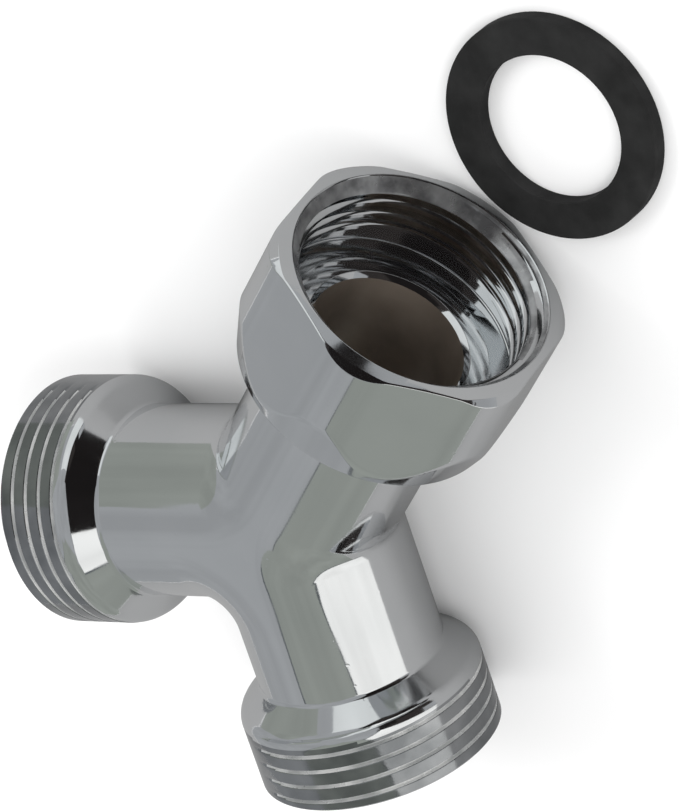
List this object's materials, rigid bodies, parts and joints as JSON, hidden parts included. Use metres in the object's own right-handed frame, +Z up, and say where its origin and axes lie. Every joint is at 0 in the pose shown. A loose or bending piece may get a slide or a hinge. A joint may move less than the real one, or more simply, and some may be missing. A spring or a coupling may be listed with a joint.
{
  "type": "tubing y connector",
  "caption": "Chromed Y connector with a hexagonal threaded socket, two threaded outlets at a right angle, and a loose flat sealing washer.",
  "frame": {"origin": "bottom centre of the box round the fitting and its washer, on the floor that they lie on", "axes": "+Z up; the socket's mouth faces -Y and is tipped up by the head's larger size; the outlets spread to -X and +X behind it"},
  "size_m": [0.0602, 0.0916, 0.0316],
  "materials": {
    "plated_brass": "polished bright plating",
    "seal_rubber": "matte black"
  },
  "bodies": {
    "root": {"fitting_body": "plated_brass", "sealing_washer": "seal_rubber"}
  },
  "joints": []
}
